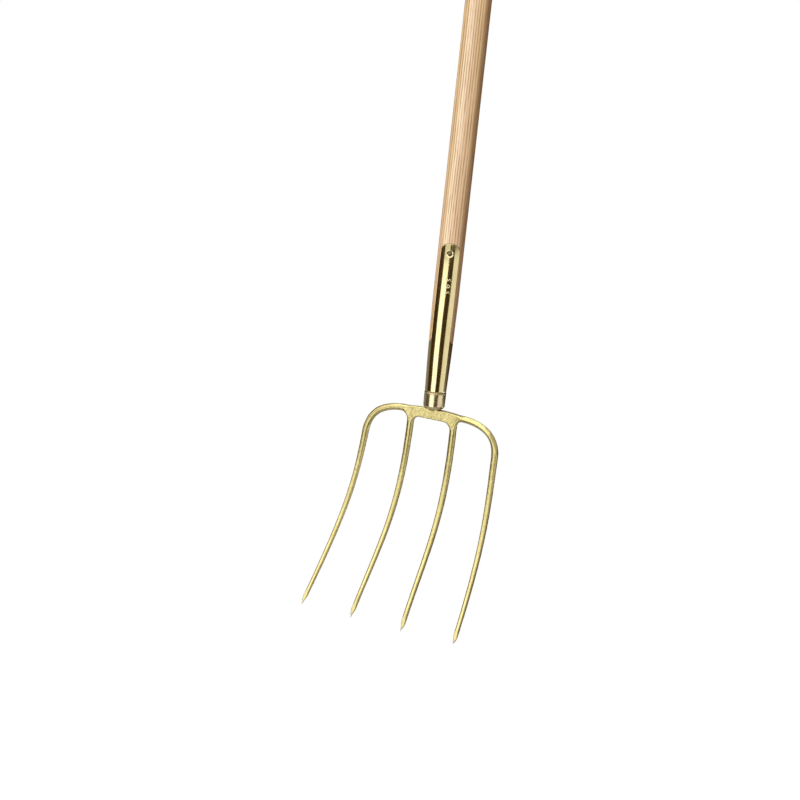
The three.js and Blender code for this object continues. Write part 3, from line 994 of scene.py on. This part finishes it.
def forged_finish():
    """Hammered and drawn steel under the same lacquer: satin, with fine scale under it."""
    material, nodes = new_material("forged_lacquer")
    where = nodes.add("TexCoord", out=3)
    scale = nodes.noise(where, 420.0, detail=6.0, roughness=0.7)
    dents = nodes.noise(where, 170.0, detail=2.0)
    cloud = nodes.noise(where, 28.0, detail=3.0)
    pale = nodes.mix(nodes.between(cloud, 0.35, 0.68), (0.515, 0.44, 0.168, 1), (0.45, 0.38, 0.128, 1))
    colour = nodes.mix(nodes.between(scale, 0.5, 0.72), pale, (0.30, 0.24, 0.09, 1))
    rough = nodes.between(scale, 0.3, 0.75, 0.24, 0.38)
    height = nodes.math("ADD", nodes.math("MULTIPLY", scale, 0.5), nodes.math("MULTIPLY", dents, 1.0))
    shader = nodes.add("BsdfPrincipled", {
        "Base Color": colour, "Roughness": rough, "Metallic": 0.95,
        "Coat Weight": 0.6, "Coat Roughness": 0.25, "Coat IOR": 1.7,
        "Normal": bumped(nodes, height, 0.00016),
    })
    nodes.surface(shader)
    return material


def rivet_steel():
    """The rivet's bare hammered head, without lacquer; its colour is kept darker than the lacquered
    straps' as painted shade for the dark reflections round its dome.
    """
    material, nodes = new_material("rivet_steel")
    where = nodes.add("TexCoord", out=3)
    marks = nodes.noise(where, 1500.0, detail=4.0)
    # both dark colours are painted shade on the rivet's head
    colour = nodes.mix(marks, (0.19, 0.15, 0.075, 1), (0.09, 0.07, 0.035, 1))
    shader = nodes.add("BsdfPrincipled", {
        "Base Color": colour, "Roughness": nodes.between(marks, 0.3, 0.7, 0.18, 0.34),
        "Metallic": 1.0, "Normal": bumped(nodes, marks, 0.00006),
    })
    nodes.surface(shader)
    return material


def ash_wood():
    """Straight-grained ash: growth layers cut lengthways, a pale layer, a brown one beyond it which
    lies on the shaft's side turned away from the main light as painted shade; dark late wood in broken
    lines and fine open pores along them."""
    material, nodes = new_material("ash")
    where = nodes.add("TexCoord", out=3)
    drift = nodes.noise(nodes.stretched(where, (1.0, 1.0, 0.08)), 24.0, detail=4.0)
    blush = nodes.noise(nodes.stretched(where, (1.0, 1.0, 0.03)), 80.0, detail=2.0)
    from_pith = nodes.add("VectorMath", {0: where, 1: PITH}, operation="ADD")
    flat = nodes.add("VectorMath", {0: from_pith, 1: (1.0, 1.0, 0.003)}, operation="MULTIPLY")
    reach = nodes.add("VectorMath", {0: flat}, out=1, operation="LENGTH")
    reach = nodes.math("ADD", reach, nodes.math("MULTIPLY", nodes.math("SUBTRACT", drift, 0.5), 0.007))
    ring = nodes.math("FRACT", nodes.math("MULTIPLY", reach, RINGS))
    late = nodes.math("MULTIPLY", nodes.between(ring, 0.2, 0.85), nodes.between(ring, 1.0, 0.88))
    broken = nodes.noise(nodes.stretched(where, (1.0, 1.0, 0.07)), 260.0, detail=3.0)
    fibre = nodes.noise(nodes.stretched(where, (1.0, 1.0, 0.02)), 1300.0, detail=4.0)
    pores = nodes.noise(nodes.stretched(where, (1.0, 1.0, 0.035)), 2600.0, detail=1.0)
    pore = nodes.between(nodes.math("ADD", pores, nodes.math("MULTIPLY", late, 0.08)), 0.64, 0.76)
    pale_low = nodes.between(reach, PITH_REACH - 0.012, PITH_REACH - 0.008)
    pale_high = nodes.between(reach, PITH_REACH + 0.004, PITH_REACH - 0.002)
    # painted shade: past this reach from the ring centre, on the shaft's side away from the main light,
    # the wood turns dark brown
    brown = nodes.between(reach, PITH_REACH + 0.009, PITH_REACH + 0.016)
    pale = nodes.math("MULTIPLY", pale_low, pale_high)
    sapwood = nodes.mix(pale, (0.71, 0.50, 0.26, 1), (0.87, 0.715, 0.485, 1))
    sapwood = nodes.mix(nodes.between(blush, 0.42, 0.6, 0.0, 0.55), sapwood, (0.68, 0.47, 0.33, 1))
    # the dark brown mixed in here is that painted shade
    base = nodes.mix(brown, sapwood, (0.24, 0.115, 0.042, 1))
    lined = nodes.mix(nodes.math("MULTIPLY", late, nodes.between(broken, 0.4, 0.54, 0.4, 1.0)), base,
                      (0.35, 0.20, 0.085, 1))
    fibres = nodes.mix(nodes.between(fibre, 0.42, 0.72, 0.0, 0.4), lined, (0.60, 0.40, 0.24, 1))
    colour = nodes.mix(nodes.math("MULTIPLY", pore, 0.6), fibres, (0.34, 0.20, 0.10, 1))
    height = nodes.math("SUBTRACT", nodes.math("MULTIPLY", fibre, 0.4),
                        nodes.math("MULTIPLY", pore, 0.8))
    shader = nodes.add("BsdfPrincipled", {
        "Base Color": colour, "Roughness": nodes.between(fibre, 0.3, 0.7, 0.42, 0.58),
        "Specular IOR Level": 0.4, "Normal": bumped(nodes, height, 0.00006),
    })
    nodes.surface(shader)
    return material


def pale_floor():
    """A plain white sweep, which reflects and lights the object only dimly."""
    material, nodes = new_material("pale_floor")
    where = nodes.add("TexCoord", out=3)
    tone = nodes.between(nodes.noise(where, 3.0), 0.3, 0.7, 0.80, 0.84)
    grey = nodes.add("CombineColor", {"Red": tone, "Green": tone, "Blue": tone})
    matte = nodes.add("BsdfPrincipled", {"Base Color": grey, "Roughness": 0.9})
    glow = nodes.add("Emission", {"Color": (1, 1, 1, 1), "Strength": 0.5})
    pale = nodes.add("AddShader", {0: matte, 1: glow})
    dim = nodes.add("BsdfPrincipled", {"Base Color": (0.5, 0.5, 0.5, 1), "Roughness": 0.9})
    nodes.surface(nodes.add("MixShader", {0: nodes.add("LightPath", out=0), 1: dim, 2: pale}))
    return material


# ------------------------------------------------------------------ light and camera

def studio_light():
    """Soft boxes standing round the object in a dark, warm room, with a dim ceiling and ground.

    Their places are in degrees round the object from the camera's side, and above the level.
    The camera itself sees plain white in place of them.
    """
    world = bpy.data.worlds.new("studio")
    bpy.context.scene.world = world
    world.use_nodes = True
    nodes = Nodes(world.node_tree)
    way = nodes.add("TexCoord", out=0)
    turned_way = nodes.add("VectorRotate", {"Vector": way, "Angle": -CAMERA_SIDE},
                           rotation_type="Z_AXIS")
    parts = nodes.tree.nodes.new("ShaderNodeSeparateXYZ")
    nodes.tree.links.new(turned_way, parts.inputs[0])
    x, y, z = parts.outputs
    round_it = nodes.math("MULTIPLY", nodes.math("ARCTAN2", y, x), 180 / math.pi)
    above = nodes.math("MULTIPLY", nodes.math("ARCSINE", z), 180 / math.pi)

    def inside(value, low, high):
        return nodes.math("MULTIPLY", nodes.between(value, low - BOX_BLUR, low + BOX_BLUR),
                          nodes.between(value, high + BOX_BLUR, high - BOX_BLUR))

    level = nodes.math("ADD", nodes.between(above, *CEILING), nodes.between(above, *GROUND))
    for start, end, low, high, brightness in SOFT_BOXES:
        box = nodes.math("MULTIPLY", inside(round_it, start, end), inside(above, low, high))
        level = nodes.math("ADD", level, nodes.math("MULTIPLY", box, brightness))
    white = nodes.add("CombineXYZ", {"X": level, "Y": level, "Z": level})
    colour = nodes.add("VectorMath", {0: white, 1: ROOM}, operation="ADD")
    lit = nodes.add("Background", {"Color": colour, "Strength": 1.0})
    plain = nodes.add("Background", {"Color": (1, 1, 1, 1), "Strength": 1.0})
    seen = nodes.add("LightPath", out=0)
    nodes.surface(nodes.add("MixShader", {0: seen, 1: lit, 2: plain}), kind="OutputWorld")


def floor():
    """A round floor well below the tines."""
    ring = [(FLOOR_RADIUS * math.cos(a), FLOOR_RADIUS * math.sin(a), FLOOR_Z)
            for a in np.linspace(0, 2 * math.pi, FLOOR_SIDES, endpoint=False)]
    piece = new_object("studio_floor", ring, [tuple(range(FLOOR_SIDES))])
    piece.data.materials.append(pale_floor())


def camera():
    """Looks down on the web from the right of the front, and leans to its right."""
    level, tilt = CAMERA_ROUND, CAMERA_UP
    back = np.array([math.sin(level) * math.cos(tilt), -math.cos(level) * math.cos(tilt),
                     math.sin(tilt)])
    right = np.array([math.cos(level), math.sin(level), 0])
    up = np.cross(back, right)
    roll = CAMERA_ROLL
    right, up = (math.cos(roll) * right + math.sin(roll) * up,
                 -math.sin(roll) * right + math.cos(roll) * up)
    place = back * CAMERA_DISTANCE - right * CAMERA_SHIFT[0] - up * CAMERA_SHIFT[1]
    place = place + (0, 0, MIDDLE)
    data = bpy.data.cameras.new("camera")
    data.lens = CAMERA_LENS
    data.sensor_width = 36
    data.clip_end = 20
    seat = bpy.data.objects.new("camera", data)
    frame_axes = np.column_stack([right, up, back])
    seat.matrix_world = Matrix.Translation(Vector(place * MM)) @ Matrix(frame_axes.tolist()).to_4x4()
    bpy.context.scene.collection.objects.link(seat)
    bpy.context.scene.camera = seat


# ------------------------------------------------------------------ assembly

def placed(piece, material, node):
    """Gives a piece its material and lets it stand in for a node of the frame."""
    piece.data.materials.clear()
    piece.data.materials.append(material)
    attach(piece, "root")
    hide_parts(node)


sheet_gold = lacquered_sheet("sheet_gold", (0.575, 0.49, 0.235, 1), (0.525, 0.44, 0.195, 1), 0.13)
collar_gold = lacquered_sheet("collar_gold", (0.60, 0.50, 0.285, 1), (0.54, 0.445, 0.24, 1), 0.24)

placed(forged_head(), forged_finish(), "fork_head")
placed(end_collar(), collar_gold, "end_collar")
placed(socket_half("strap_shell_front", SOCKET_TURN), sheet_gold, "socket_front")
placed(socket_half("strap_shell_back", SOCKET_TURN + math.pi), sheet_gold,
       "socket_back")
placed(rivet(), rivet_steel(), "strap_rivet")
placed(shaft(), ash_wood(), "shaft")

floor()
studio_light()
camera()
bpy.context.scene.view_settings.view_transform = "Standard"
